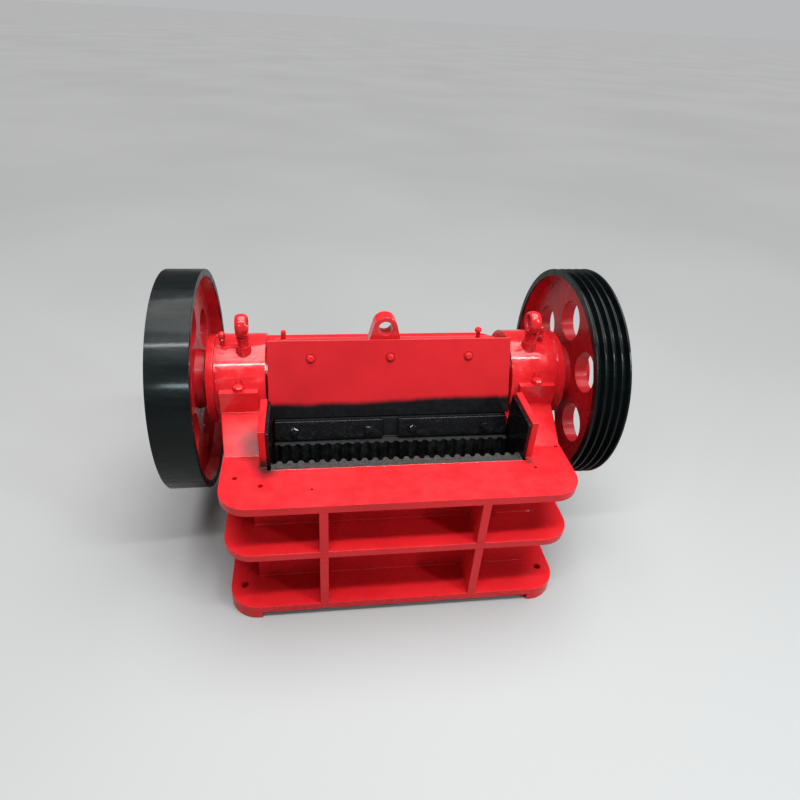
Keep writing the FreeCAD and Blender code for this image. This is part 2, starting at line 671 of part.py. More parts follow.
def web_holes():
    """The round holes through a wheel's web, as cutters at +X."""
    cutters = []
    for number in range(WEB_HOLE_COUNT):
        angle = math.radians(90 + number * 360 / WEB_HOLE_COUNT)
        y = SHAFT_Y + WEB_HOLE_CIRCLE_R * math.cos(angle)
        z = SHAFT_Z + WEB_HOLE_CIRCLE_R * math.sin(angle)
        cutters.append(rod_x(WEB_HOLE_R, PULLEY_INNER - 1, FLYWHEEL_OUTER + 1, y, z))
    return cutters


def flywheel():
    """The smooth flywheel at the left end."""
    tread = [(FLYWHEEL_INNER, WHEEL_R), (FLYWHEEL_OUTER, WHEEL_R)]
    wheel = turned(wheel_outline(FLYWHEEL_INNER, FLYWHEEL_OUTER, tread)).cut(web_holes())
    return other_side(wheel)


def drive_pulley():
    """The V-belt pulley at the right end."""
    tread = [(PULLEY_INNER, WHEEL_R)]
    middle = (PULLEY_INNER + PULLEY_OUTER) / 2
    for number in range(GROOVE_COUNT):
        x = middle + (number - (GROOVE_COUNT - 1) / 2) * GROOVE_PITCH
        top, bottom = GROOVE_TOP_WIDTH / 2, GROOVE_BOTTOM_WIDTH / 2
        tread += [(x - top, WHEEL_R), (x - bottom, WHEEL_R - GROOVE_DEPTH),
                  (x + bottom, WHEEL_R - GROOVE_DEPTH), (x + top, WHEEL_R)]
    tread.append((PULLEY_OUTER, WHEEL_R))
    return turned(wheel_outline(PULLEY_INNER, PULLEY_OUTER, tread)).cut(web_holes())


# ---------------------------------------------------------------- toggle and tension rods

def toggle_plate():
    """The toggle: a slab with a round nose at each end."""
    run_y = TOGGLE_REAR_Y - TOGGLE_FRONT_Y
    run_z = TOGGLE_REAR_Z - TOGGLE_FRONT_Z
    length = math.hypot(run_y, run_z)
    side_y = -run_z / length * TOGGLE_END_R
    side_z = run_y / length * TOGGLE_END_R
    ends = [(TOGGLE_FRONT_Y, TOGGLE_FRONT_Z), (TOGGLE_REAR_Y, TOGGLE_REAR_Z)]
    upper = [(y + side_y, z + side_z) for y, z in ends]
    lower = [(y - side_y, z - side_z) for y, z in reversed(ends)]
    slab = prism_x(upper + lower, -TOGGLE_HALF_WIDTH, TOGGLE_HALF_WIDTH)
    noses = [rod_x(TOGGLE_END_R, -TOGGLE_HALF_WIDTH, TOGGLE_HALF_WIDTH, y, z) for y, z in ends]
    return joined([slab] + noses)


def toggle_seat():
    """The sliding block behind the toggle, with a sloped back."""
    front_y = TOGGLE_REAR_Y - TOGGLE_NOSE_OUT
    x1 = SIDE_PLATE_INNER - 1
    block = prism_x(
        [
            (front_y, SEAT_BOTTOM), (front_y, SEAT_TOP), (WEDGE_TOP_Y - 0.5, SEAT_TOP),
            (WEDGE_TOP_Y + WEDGE_SLOPE - 0.5, SEAT_BOTTOM),
        ],
        -x1, x1
    )
    groove_y = TOGGLE_REAR_Y + TOGGLE_END_R - REAR_GROOVE_R
    return block.cut(rod_x(REAR_GROOVE_R, -x1 - 1, x1 + 1, groove_y, TOGGLE_REAR_Z))


def adjusting_wedge():
    """The wedge between the toggle's seat and the rear wall, which sets the discharge gap."""
    x1 = SIDE_PLATE_INNER - 1
    return prism_x(
        [
            (WEDGE_TOP_Y, SEAT_TOP), (WEDGE_TOP_Y + WEDGE_SLOPE, SEAT_BOTTOM),
            (WALL_INNER_Y, SEAT_BOTTOM), (WALL_INNER_Y, SEAT_TOP),
        ],
        -x1, x1
    )


def tension_rod(x):
    """A rod from the swing jaw's pin through the rear wall, with a slotted eye and a nut."""
    half = ROD_EYE_THICKNESS / 2
    eye = box(
        x - half, x + half, ROD_EYE_FRONT, ROD_EYE_REAR,
        ROD_Z - ROD_EYE_HALF_HEIGHT, ROD_Z + ROD_EYE_HALF_HEIGHT
    )
    slot = box(
        x - half - 1, x + half + 1, ROD_SLOT_FRONT, ROD_SLOT_REAR,
        ROD_Z - ROD_SLOT_HALF_HEIGHT, ROD_Z + ROD_SLOT_HALF_HEIGHT
    )
    bar = rod_y(ROD_R, ROD_EYE_REAR - 1, ROD_REAR, x, ROD_Z)
    nut_y = SPRING_END + WASHER_THICKNESS
    washer = rod_y(WASHER_R, SPRING_END, nut_y, x, ROD_Z)
    nut = rod_y(NUT_R, nut_y, nut_y + NUT_THICKNESS, x, ROD_Z)
    return joined([eye, bar, nut, washer]).cut(slot)


def tension_spring(x):
    """A tension rod's spring, as a sleeve of the coil's size."""
    sleeve = rod_y(SPRING_R, WALL_OUTER_Y, SPRING_END, x, ROD_Z)
    return sleeve.cut(rod_y(SPRING_R - SPRING_WIRE, WALL_OUTER_Y - 1, SPRING_END + 1, x, ROD_Z))


# ---------------------------------------------------------------- all the pieces

def pair(name, left_piece):
    """The two mirrored pieces of a left and right pair."""
    return {name + "_left": left_piece, name + "_right": other_side(left_piece)}


def pieces():
    """Every named piece of the crusher."""
    ramp = ramp_plate()
    side_ribs = Part.makeCompound([rib for y in (-SIDE_RIB_Y, SIDE_RIB_Y) for rib in side_rib(y)])
    rear_ribs = [at_rear(rib) for x in (-END_RIB_X, END_RIB_X) for rib in end_rib(x)]
    parts = {
        "front_wall": front_wall(),
        "rear_wall": rear_wall(),
        "top_flange": top_flange(),
        "middle_flange": lower_flange(MIDDLE_FLANGE_TOP),
        "bottom_flange": lower_flange(BOTTOM_FLANGE_TOP).cut(foundation_holes()),
        "rear_ribs": Part.makeCompound(rear_ribs),
        "fixed_jaw_plate": fixed_jaw_plate(),
        "toggle_plate": toggle_plate(),
        "toggle_seat": toggle_seat(),
        "adjusting_wedge": adjusting_wedge(),
        "swing_jaw": swing_jaw(),
        "rod_lugs": Part.makeCompound([rod_lug(-ROD_X), rod_lug(ROD_X)]),
        "head_plate": head_plate(),
        "moving_jaw_plate": moving_jaw_plate(),
        "clamp_bar_left": clamp_bar(-JAW_HALF_WIDTH, BAR_LEFT_END),
        "clamp_bar_right": clamp_bar(BAR_RIGHT_START, JAW_HALF_WIDTH),
        "lifting_lug": lifting_lug(),
        "shaft": shaft(),
        "flywheel": flywheel(),
        "drive_pulley": drive_pulley(),
    }
    parts.update(pair("front_rib", Part.makeCompound(end_rib(-END_RIB_X))))
    parts.update(pair("side_ribs", side_ribs))
    parts.update(pair("front_foot", foot_pad(-1, -1)))
    parts.update(pair("rear_foot", foot_pad(-1, 1)))
    parts.update(pair("side_plate", side_plate()))
    parts.update(pair("bearing_saddle", bearing_saddle()))
    parts.update(pair("bearing_housing", bearing_housing()))
    parts.update(pair("bearing_cover", bearing_cover()))
    parts.update(pair("eye_bolt", eye_bolt()))
    parts.update(pair("front_ramp", ramp))
    parts.update(pair("rear_ramp", behind(ramp)))
    parts.update(pair("cheek_plate", cheek_plate()))
    parts.update(pair("tension_rod", tension_rod(-ROD_X)))
    parts.update(pair("tension_spring", tension_spring(-ROD_X)))
    return parts


os.makedirs("parts", exist_ok=True)
for node, shape in pieces().items():
    print(node, "valid" if shape.isValid() else "INVALID", round(shape.Volume / 1000), "cm3")
    shape.exportStep("parts/" + node + ".step")
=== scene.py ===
# %% [markdown]
# # A jaw crusher, finished in Blender
# The machine comes from the CAD pack as bare solids in metres: origin between the four foundation bolts,
# +X along the shaft to the belt pulley, -Y on the feed side. This lesson gives it what the solids lack:
# thick gloss paint, black overspray round the jaws, weld beads, bolts, grease fittings and coil springs.
# Load the pack first. Nothing added later may grow past it.

import json
import math

import bmesh
import bpy
from mathutils import Matrix, Vector

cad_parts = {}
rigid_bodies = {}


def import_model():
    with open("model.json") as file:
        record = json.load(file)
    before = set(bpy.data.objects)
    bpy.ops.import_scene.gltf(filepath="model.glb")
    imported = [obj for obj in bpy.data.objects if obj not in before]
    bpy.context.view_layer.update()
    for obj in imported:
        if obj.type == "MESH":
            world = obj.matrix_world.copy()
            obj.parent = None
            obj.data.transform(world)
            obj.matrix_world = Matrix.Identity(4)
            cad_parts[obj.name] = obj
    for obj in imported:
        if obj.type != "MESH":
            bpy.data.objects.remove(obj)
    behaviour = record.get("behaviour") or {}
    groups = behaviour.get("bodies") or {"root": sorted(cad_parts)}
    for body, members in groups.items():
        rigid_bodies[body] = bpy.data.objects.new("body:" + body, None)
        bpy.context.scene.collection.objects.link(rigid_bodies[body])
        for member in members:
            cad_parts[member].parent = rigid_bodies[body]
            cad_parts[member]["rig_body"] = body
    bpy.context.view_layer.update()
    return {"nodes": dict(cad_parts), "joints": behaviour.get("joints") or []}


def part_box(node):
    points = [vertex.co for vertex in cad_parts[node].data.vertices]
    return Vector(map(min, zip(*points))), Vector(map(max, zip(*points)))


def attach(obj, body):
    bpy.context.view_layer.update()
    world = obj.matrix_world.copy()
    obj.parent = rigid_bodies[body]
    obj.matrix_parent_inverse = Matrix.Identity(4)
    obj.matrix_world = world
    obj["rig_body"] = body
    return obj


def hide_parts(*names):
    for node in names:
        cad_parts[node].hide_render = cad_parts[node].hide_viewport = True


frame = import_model()

# %% [markdown]
# ## The camera
# The camera stands on the feed side, a little to the left of the middle and well above the mouth, close
# enough for strong perspective: the two wheels splay outwards. Its three angles build a rotation matrix
# directly, which is easier to control than aiming at an empty, because the picture also leans 3 degrees.

# %% Place the camera
yaw, pitch, roll = (math.radians(angle) for angle in (8.09, -32.35, 3.043))
forward = Vector((math.sin(yaw) * math.cos(pitch), math.cos(yaw) * math.cos(pitch), math.sin(pitch)))
level = Vector((math.cos(yaw), -math.sin(yaw), 0.0))
upright = level.cross(forward)
right = math.cos(roll) * level + math.sin(roll) * upright
above = -math.sin(roll) * level + math.cos(roll) * upright

lens = bpy.data.cameras.new("camera")
lens.lens = 26.04
lens.sensor_width = 36.0
lens.shift_x = 0.0228
lens.shift_y = -0.0229
camera = bpy.data.objects.new("camera", lens)
bpy.context.scene.collection.objects.link(camera)
turn = Matrix((right, above, -forward)).transposed().to_4x4()
camera.matrix_world = Matrix.Translation((-0.2502, -1.620, 1.5658)) @ turn
bpy.context.scene.camera = camera
print("camera at", [round(v, 3) for v in camera.location], "lens", round(lens.lens, 2), "mm")

# %% [markdown]
# ## Writing materials as nodes
# Every finish below is a small network that reads Object coordinates, so a pattern has its real size in
# metres and stays put when a body turns. The same five steps come back each time: noise, a soft
# threshold, a colour mix, a bump and a masked area. A little class keeps them to one line each. It
# stands on a smaller one that only adds a node and fills its inputs, which geometry will need as well.

# %% A class that adds nodes
class Network:
    """A node tree that grows by one call a node. An input is a number or another node's output."""

    def node(self, kind, inputs=(), **settings):
        new = self.tree.nodes.new(kind)
        for key, value in settings.items():
            setattr(new, key, value)
        for key, value in dict(inputs).items():
            if isinstance(value, bpy.types.NodeSocket):
                self.tree.links.new(value, new.inputs[key])
            else:
                new.inputs[key].default_value = value
        return new

    def calculate(self, operation, first, second=0.5, clamp=False):
        inputs = {0: first, 1: second}
        return self.node("ShaderNodeMath", inputs, operation=operation, use_clamp=clamp).outputs[0]


print("a network has", len([m for m in vars(Network) if not m.startswith("_")]), "kinds of call")

# %% A class that writes a finish
SHAFT_Y, SHAFT_Z = next(joint["pos_m"] for joint in frame["joints"] if joint["name"] == "shaft_spin")[1:]


class Finish(Network):
    """A material on Object coordinates, with one call for each kind of node it needs."""

    def __init__(self, name, **sockets):
        self.material = bpy.data.materials.new(name)
        self.material.use_nodes = True
        self.tree = self.material.node_tree
        self.shader = self.tree.nodes["Principled BSDF"]
        for socket, value in sockets.items():
            self.shader.inputs[socket.replace("_", " ")].default_value = value
        self.place = self.node("ShaderNodeTexCoord").outputs["Object"]

    def noise(self, scale, detail=3.0, stretch=(1.0, 1.0, 1.0), roughness=0.55):
        mapped = self.node("ShaderNodeMapping", {"Vector": self.place, "Scale": stretch})
        inputs = {"Vector": mapped.outputs[0], "Scale": scale, "Detail": detail, "Roughness": roughness}
        return self.node("ShaderNodeTexNoise", inputs).outputs["Fac"]

    def fade(self, value, start, end, low=0.0, high=1.0):
        """low below start, high above end, and smooth in between; end may be below start."""
        if start > end:
            start, end, low, high = end, start, high, low
        inputs = {0: value, 1: start, 2: end, 3: low, 4: high}
        return self.node("ShaderNodeMapRange", inputs, interpolation_type="SMOOTHSTEP").outputs[0]

    def mix(self, factor, first, second):
        new = self.node("ShaderNodeMix", {0: factor}, data_type="RGBA")
        for socket, value in ((new.inputs[6], first), (new.inputs[7], second)):
            if isinstance(value, bpy.types.NodeSocket):
                self.tree.links.new(value, socket)
            else:
                socket.default_value = (*value, 1.0)
        return new.outputs[2]

    def axis(self, number):
        return self.node("ShaderNodeSeparateXYZ", {0: self.place}).outputs[number]

    def distance(self, point, place=None):
        inputs = {0: place or self.place, 1: point}
        return self.node("ShaderNodeVectorMath", inputs, operation="DISTANCE").outputs["Value"]

    def off_shaft(self):
        """How far out from the shaft's axis, which runs along X."""
        flat = self.node("ShaderNodeMapping", {"Vector": self.place, "Scale": (0.0, 1.0, 1.0)})
        return self.distance((0.0, SHAFT_Y, SHAFT_Z), flat.outputs[0])

    def near(self, point, radius, softness):
        """1 inside a ball about a point, fading to 0, with an uneven edge."""
        wobble = self.calculate("MULTIPLY", self.noise(30.0), 0.05)
        ragged = self.calculate("ADD", self.distance(point), wobble)
        return self.fade(ragged, radius, radius + softness, 1.0, 0.0)

    def bump(self, height, distance, strength=1.0, under=None):
        inputs = {"Height": height, "Distance": distance, "Strength": strength}
        if under is not None:
            inputs["Normal"] = under
        return self.node("ShaderNodeBump", inputs).outputs[0]

    def finish(self, colour=None, roughness=None, normal=None):
        for socket, value in (("Base Color", colour), ("Roughness", roughness), ("Normal", normal)):
            if value is not None:
                self.tree.links.new(value, self.shader.inputs[socket])
        return self.material


print("a finish adds", len([m for m in vars(Finish) if not m.startswith("_")]), "more")
print("shaft axis at y", round(SHAFT_Y, 4), "z", round(SHAFT_Z, 4))

# %% [markdown]
# ## Red enamel on the plates
# The frame is brushed and sprayed with thick red gloss. Up close the red drifts a little, brush marks
# and orange peel roughen the gloss, and black overspray has settled round the corners of the mouth.
# Large noise moves the colour, fine noise makes the peel, and four soft dark balls hold the overspray at
# the mouth's two corners and painted shade over the two sloped ramps.

# %% Mix the red enamel
RED = (0.60, 0.013, 0.018)
DEEP_RED = (0.45, 0.008, 0.012)
SPECK_RED = (0.16, 0.01, 0.012)
# the dark colour of the balls below: black overspray at the mouth, painted shade elsewhere
OVERSPRAY_AND_SHADE_BLACK = (0.022, 0.012, 0.012)


def red_enamel(name, lumps, peel, gloss, coat, overspray_and_shade):
    """lumps and peel are heights in metres; the last argument lists points, radii and softness of dark
    balls, some black overspray and some painted shade.
    """
    paint = Finish(name, Coat_Weight=coat, Coat_Roughness=0.10, Specular_IOR_Level=0.20)
    drift = paint.fade(paint.noise(5.0, 4.0), 0.32, 0.68, 0.35, 1.0)
    colour = paint.mix(drift, DEEP_RED, RED)
    clean = paint.fade(paint.noise(2.0), 0.45, 0.75)
    colour = paint.mix(paint.calculate("MULTIPLY", clean, 0.6), colour, RED)
    specks = paint.fade(paint.noise(140.0, 2.0), 0.70, 0.76)
    colour = paint.mix(paint.calculate("MULTIPLY", specks, 0.55), colour, SPECK_RED)
    # dark balls: black overspray at the mouth's corners, and painted shade on the ramps, at the ears' feet
    # and beside the jaw's head
    for point, radius, softness in overspray_and_shade:
        colour = paint.mix(paint.near(point, radius, softness), colour, OVERSPRAY_AND_SHADE_BLACK)
    roughness = paint.fade(paint.noise(22.0, 4.0), 0.30, 0.72, gloss - 0.07, gloss + 0.13)
    lumpy = paint.bump(paint.noise(16.0, 2.0), lumps)
    skin = paint.bump(paint.noise(210.0, 2.0), peel, 0.8, lumpy)
    return paint.finish(colour, roughness, skin)


mouth_corners = [((-0.390, -0.335, 0.458), 0.024, 0.060), ((0.388, -0.338, 0.455), 0.010, 0.045)]
# painted shade: a wide soft darkening over each sloped ramp
ramp_painted_shade = [((-0.418, -0.235, 0.446), 0.004, 0.125), ((0.408, -0.235, 0.470), 0.006, 0.050)]
plate_red = red_enamel("red_enamel_plate", lumps=0.0012, peel=0.00010, gloss=0.30, coat=0.06,
                       overspray_and_shade=mouth_corners + ramp_painted_shade)
print("red enamel has", len(plate_red.node_tree.nodes), "nodes")

# %% [markdown]
# ## Red enamel on the castings
# The housings, saddles, covers and the lifting lug are rough castings under the same paint. Their skin
# swells and dips over a few centimetres, so highlights break up. The same function takes bigger lumps
# and a thicker clear coat. Painted shade darkens the foot of each ear and the gaps beside the ends of the
# jaw's head.

# %% Mix the casting's red
# painted shade in the crease at each ear's foot and in the gaps beside the jaw's head
ear_foot_painted_shade = [((x, -0.105, 0.474), 0.006, 0.030) for x in (-0.42, 0.42)]
head_end_painted_shade = [((x, -0.075, 0.495), 0.045, 0.030) for x in (-0.375, 0.375)]
CASTING_LUMPS = 0.0055
casting_red = red_enamel("red_enamel_casting", lumps=CASTING_LUMPS, peel=0.00030, gloss=0.22, coat=0.50,
                         overspray_and_shade=mouth_corners + ear_foot_painted_shade + head_end_painted_shade)
print("the castings' lumps are about", round(1000 * CASTING_LUMPS, 1), "mm before they are softened")

# %% [markdown]
# ## The head plate, red above and black below
# The plate over the jaw's head was sprayed red, then the jaws under it black, and the two clouds meet in
# a soft uneven band. Height drives the mix, and stretched noise lets the band wander along the plate.
# A thin dark ring of painted shade surrounds each bolt, where its washer meets the plate. The plate leans
# back, so a point on it is given up the face and out of it, and turned into Y and Z by the same tilt as the
# CAD's.

# %% Find places on the sloped face
FACE_TILT = math.radians(21.4)
out_of_face = Vector((0.0, -math.cos(FACE_TILT), math.sin(FACE_TILT)))
up_the_face = Vector((0.0, math.sin(FACE_TILT), math.cos(FACE_TILT)))
axis_point = Vector((0.0, SHAFT_Y, SHAFT_Z))


def on_face(x, up, out):
    return axis_point + up * up_the_face + out * out_of_face + Vector((x, 0.0, 0.0))


plate_bolts = [(on_face(x, 0.0795, 0.1360), out_of_face) for x in (-0.254, -0.004, 0.249)]
bar_bolts = [(on_face(x, -0.1430, 0.1720), out_of_face) for x in (-0.308, -0.080, 0.063, 0.297)]
heights = [round(bolts[0][0].z, 3) for bolts in (plate_bolts, bar_bolts)]
print("bolts on the head plate and the bars at z", heights)

# %% Mix the head plate's two sprays
BLACK = (0.0035, 0.0035, 0.0042)
BOLT_SHADE_RED = (0.09, 0.004, 0.006)
RED_ABOVE, BLACK_BELOW = 0.527, 0.490


def two_sprays(name, gloss, bolt_shade_centres):
    paint = Finish(name, Coat_Weight=0.08, Coat_Roughness=0.12, Specular_IOR_Level=0.16)
    wander = paint.calculate("MULTIPLY", paint.noise(5.0, 4.0, (1.0, 0.3, 1.0)), 0.030)
    height = paint.calculate("SUBTRACT", paint.axis(2), wander)
    slope = paint.calculate("MULTIPLY", paint.axis(0), -0.012)
    cloud = paint.fade(paint.calculate("ADD", height, slope), BLACK_BELOW, RED_ABOVE)
    grain = paint.calculate("MULTIPLY", paint.calculate("SUBTRACT", paint.noise(420.0, 1.0), 0.5), 0.35)
    cloud = paint.fade(paint.calculate("ADD", cloud, grain, clamp=True), 0.12, 0.88)
    drift = paint.fade(paint.noise(4.0, 4.0), 0.30, 0.70)
    red = paint.mix(drift, (0.42, 0.011, 0.016), (0.50, 0.014, 0.019))
    # painted shade: a thin dark ring just outside each washer, where the washer meets the plate
    for centre in bolt_shade_centres:
        away = paint.distance(centre)
        outside, inside = paint.fade(away, 0.0128, 0.0138), paint.fade(away, 0.0168, 0.0150)
        ring = paint.calculate("MULTIPLY", outside, inside)
        red = paint.mix(paint.calculate("MULTIPLY", ring, 0.75), red, BOLT_SHADE_RED)
    colour = paint.mix(cloud, BLACK, red)
    rough_black = paint.fade(paint.noise(60.0), 0.35, 0.70, gloss + 0.10, gloss + 0.35)
    roughness = paint.fade(cloud, 0.0, 1.0, rough_black, gloss + 0.10)
    lumpy = paint.bump(paint.noise(12.0, 2.0), 0.0010)
    skin = paint.bump(paint.noise(230.0, 2.0), 0.00020, 0.8, lumpy)
    return paint.finish(colour, roughness, skin)


head_red = two_sprays("red_to_black_spray", gloss=0.24, bolt_shade_centres=[centre for centre, facing in plate_bolts])
print("all red above z", RED_ABOVE, "and all black below", BLACK_BELOW)

# %% [markdown]
# ## Black gloss on the bars and the cheeks
# The two clamp bars and the cheek liners carry a heavy coat of black over a rough casting, so the light
# breaks into sparks. A strong bump of two sizes under a clear coat gives that.

# %% Mix the black gloss
black_paint = Finish("black_gloss", Coat_Weight=0.35, Coat_Roughness=0.06, Specular_IOR_Level=0.15)
dusty = black_paint.fade(black_paint.noise(38.0, 4.0), 0.52, 0.75)
black_colour = black_paint.mix(dusty, BLACK, (0.010, 0.011, 0.014))
black_rough = black_paint.fade(black_paint.noise(70.0, 3.0), 0.30, 0.70, 0.16, 0.42)
black_lumps = black_paint.bump(black_paint.noise(60.0, 3.0), 0.0040)
black_skin = black_paint.bump(black_paint.noise(300.0, 2.0), 0.00025, 0.8, black_lumps)
black_gloss = black_paint.finish(black_colour, black_rough, black_skin)
print("black gloss has", len(black_gloss.node_tree.nodes), "nodes")

# %% [markdown]
# ## Wheels: black rims on red webs
# Each wheel has a black tread and a narrow black ring on the rim's side, and everything inside that ring
# is red. Distance from the shaft's axis decides, with a little noise for a hand-cut edge. The tread's
# skin has strokes that run across it, so its noise is stretched along X. The black drifts in teal-tinted
# streaks: part uneven paint film, part a painted teal sheen.

# %% Mix the wheels' paint
def wheel_paint(name, black_from):
    paint = Finish(name, Coat_Weight=0.12, Coat_Roughness=0.10, Specular_IOR_Level=0.12)
    wobble = paint.calculate("MULTIPLY", paint.noise(24.0, 3.0), 0.005)
    radius = paint.calculate("ADD", paint.off_shaft(), wobble)
    rim = paint.fade(radius, black_from + 0.0015, black_from + 0.0035)
    drift = paint.fade(paint.noise(7.0, 4.0), 0.30, 0.70)
    red = paint.mix(drift, (0.30, 0.008, 0.012), (0.50, 0.012, 0.018))
    # lighter teal streaks in the black: uneven paint film and a painted teal sheen
    film_and_teal_sheen = paint.fade(paint.noise(9.0, 4.0, (0.25, 1.0, 1.0)), 0.35, 0.75)
    black = paint.mix(film_and_teal_sheen, (0.0018, 0.0026, 0.0028), (0.0048, 0.0082, 0.0086))
    colour = paint.mix(rim, red, black)
    strokes = paint.noise(40.0, 4.0, (0.12, 1.0, 1.0))
    roughness = paint.fade(strokes, 0.30, 0.72, 0.24, 0.44)
    brushed = paint.bump(strokes, 0.0011, 0.8)
    lumpy = paint.bump(paint.noise(18.0, 2.0), 0.0016, 1.0, brushed)
    skin = paint.bump(paint.noise(240.0, 2.0), 0.00015, 0.7, lumpy)
    return paint.finish(colour, roughness, skin)


BLACK_FROM = 0.3305
rim_paint = wheel_paint("black_rim_red_web", BLACK_FROM)
print("the rim is black from a radius of", BLACK_FROM, "m")

# %% [markdown]
# ## The toothed plates
# The manganese jaw plates are oversprayed black down in the chamber, but their top ends have caught grey
# stone dust. Only the last few millimetres below each top are grey, so height along the plate masks it.

# %% Mix the jaw plates' finish
def toothed_steel(name, top, tilt, dark_dust, pale_dust):
    """tilt leans the dusty band back with the plate: metres of height per metre of Y."""
    steel = Finish(name, Coat_Weight=0.10, Coat_Roughness=0.15, Specular_IOR_Level=0.20)
    height = steel.calculate("ADD", steel.axis(2), steel.calculate("MULTIPLY", steel.axis(1), tilt))
    ragged = steel.calculate("MULTIPLY", steel.noise(90.0, 3.0), 0.0016)
    dust = steel.fade(steel.calculate("SUBTRACT", height, ragged), top - 0.0030, top - 0.0012)
    grit = steel.fade(steel.noise(160.0, 4.0), 0.30, 0.70)
    grey = steel.mix(grit, dark_dust, pale_dust)
    wet = steel.fade(steel.noise(28.0, 3.0), 0.45, 0.70)
    black = steel.mix(wet, (0.0028, 0.0028, 0.0032), (0.009, 0.009, 0.009))
    colour = steel.mix(dust, black, grey)
    gloss = steel.fade(steel.noise(75.0, 3.0), 0.30, 0.70, 0.22, 0.52)
    roughness = steel.fade(dust, 0.0, 1.0, gloss, 0.80)
    lumps = steel.bump(steel.noise(60.0, 3.0), 0.0016)
    skin = steel.bump(steel.noise(320.0, 3.0), 0.0004, 0.8, lumps)
    return steel.finish(colour, roughness, skin)


fixed_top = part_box("fixed_jaw_plate")[1].z
fixed_steel = toothed_steel(
    "fixed_plate_steel", fixed_top, 0.0, (0.017, 0.016, 0.015), (0.048, 0.045, 0.042))
plate_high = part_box("moving_jaw_plate")[1]
PLATE_THICKNESS = 0.040
PLATE_ANGLE = math.radians(14.4)
PLATE_LEAN = math.tan(PLATE_ANGLE)
moving_edge = plate_high.z + PLATE_LEAN * (plate_high.y - PLATE_THICKNESS * math.cos(PLATE_ANGLE))
moving_steel = toothed_steel(
    "moving_plate_steel", moving_edge, PLATE_LEAN, (0.006, 0.006, 0.0058), (0.026, 0.024, 0.022))
print("dust begins just under z", round(fixed_top, 3), "on the fixed plate")

# %% [markdown]
# ## Bare and dark steel
# The shaft's ends are turned and left bare, with fine rings about the axis and a bloom of rust. The
# toggle, its seat, the wedge, the rods and the springs are dark forged steel that nobody painted.

# %% Mix the two steels
turned = Finish("turned_steel", Metallic=1.0)
round_and_along = turned.node("ShaderNodeCombineXYZ", {0: turned.off_shaft(), 1: turned.axis(0)})
inputs = {"Vector": round_and_along.outputs[0], "Scale": 600.0, "Detail": 2.0}
rings = turned.node("ShaderNodeTexNoise", inputs).outputs["Fac"]
rust = turned.fade(turned.noise(26.0, 5.0), 0.56, 0.74)
turned_colour = turned.mix(rust, (0.46, 0.45, 0.43), (0.20, 0.10, 0.06))
turned_rough = turned.fade(rust, 0.0, 1.0, 0.32, 0.75)
turned_steel = turned.finish(turned_colour, turned_rough, turned.bump(rings, 0.00012, 0.8))

forged = Finish("dark_forged_steel", Metallic=0.75)
scale_marks = forged.fade(forged.noise(34.0, 5.0), 0.35, 0.70)
forged_colour = forged.mix(scale_marks, (0.055, 0.052, 0.050), (0.14, 0.12, 0.105))
forged_rough = forged.fade(forged.noise(80.0, 3.0), 0.3, 0.7, 0.42, 0.68)
forged_steel = forged.finish(forged_colour, forged_rough, forged.bump(forged.noise(130.0, 3.0), 0.0007))
print("steels:", turned_steel.name, "and", forged_steel.name)

# %% [markdown]
# ## Rounding the edges
# Sheared plate and castings never have knife edges, and thick paint rounds them further, so each edge
# catches a thin line of light. The CAD meshes are loose triangles that must stay as they are, so a copy
# is merged, its flat faces are joined up, and a Bevel modifier rounds the sharp edges. Hardened normals
# keep the flat faces flat. The copy then stands for its node.

# %% Make painted copies with round edges
FLAT_WITHIN = math.radians(0.4)
SHARP_FROM = math.radians(35)
pieces = {}


def plain_mesh(source, name):
    """The evaluated mesh of an object, as a new object; the source is removed."""
    graph = bpy.context.evaluated_depsgraph_get()
    evaluated = source.evaluated_get(graph)
    mesh = bpy.data.meshes.new_from_object(evaluated, preserve_all_data_layers=True, depsgraph=graph)
    mesh.name = name
    bpy.data.objects.remove(source)
    piece = bpy.data.objects.new(name, mesh)
    bpy.context.scene.collection.objects.link(piece)
    pieces[name] = piece
    return piece


def rounded(node, width, paint, segments=2):
    """A merged copy of a CAD node with edges rounded to a width, which replaces the node."""
    shape = bmesh.new()
    shape.from_mesh(frame["nodes"][node].data)
    bmesh.ops.remove_doubles(shape, verts=shape.verts, dist=0.00001)
    bmesh.ops.dissolve_limit(shape, angle_limit=FLAT_WITHIN, verts=shape.verts, edges=shape.edges)
    for face in shape.faces:
        face.smooth = True
    mesh = bpy.data.meshes.new(node + "_copy")
    shape.to_mesh(mesh)
    shape.free()
    mesh.materials.clear()
    mesh.materials.append(paint)
    source = bpy.data.objects.new(node + "_copy", mesh)
    bpy.context.scene.collection.objects.link(source)
    mesh.set_sharp_from_angle(angle=SHARP_FROM)
    bevel = source.modifiers.new("round edges", "BEVEL")
    bevel.width = width
    bevel.segments = segments
    bevel.limit_method = "ANGLE"
    bevel.angle_limit = SHARP_FROM
    bevel.harden_normals = True
    piece = plain_mesh(source, node + "_painted")
    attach(piece, frame["nodes"][node]["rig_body"])
    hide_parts(node)
    return piece


def both(name):
    return [name + "_left", name + "_right"]


for node in ("top_flange", "middle_flange", "bottom_flange"):
    rounded(node, 0.0022, plate_red)
thin_plates = ["front_wall", "rear_wall", "rear_ribs"] + both("front_rib") + both("side_ribs")
thin_plates += both("front_foot") + both("rear_foot") + both("side_plate")
for node in thin_plates:
    rounded(node, 0.0015, plate_red)
print(len(pieces), "plates rounded;", sum(len(p.data.polygons) for p in pieces.values()), "faces")

# %% [markdown]
# ## Castings, bars and liners
# Castings get a wider round than plate. The head plate and the swing jaw under it share the two-colour
# spray, the clamp bars and cheeks the black gloss, and the jaw plates keep crisp teeth.

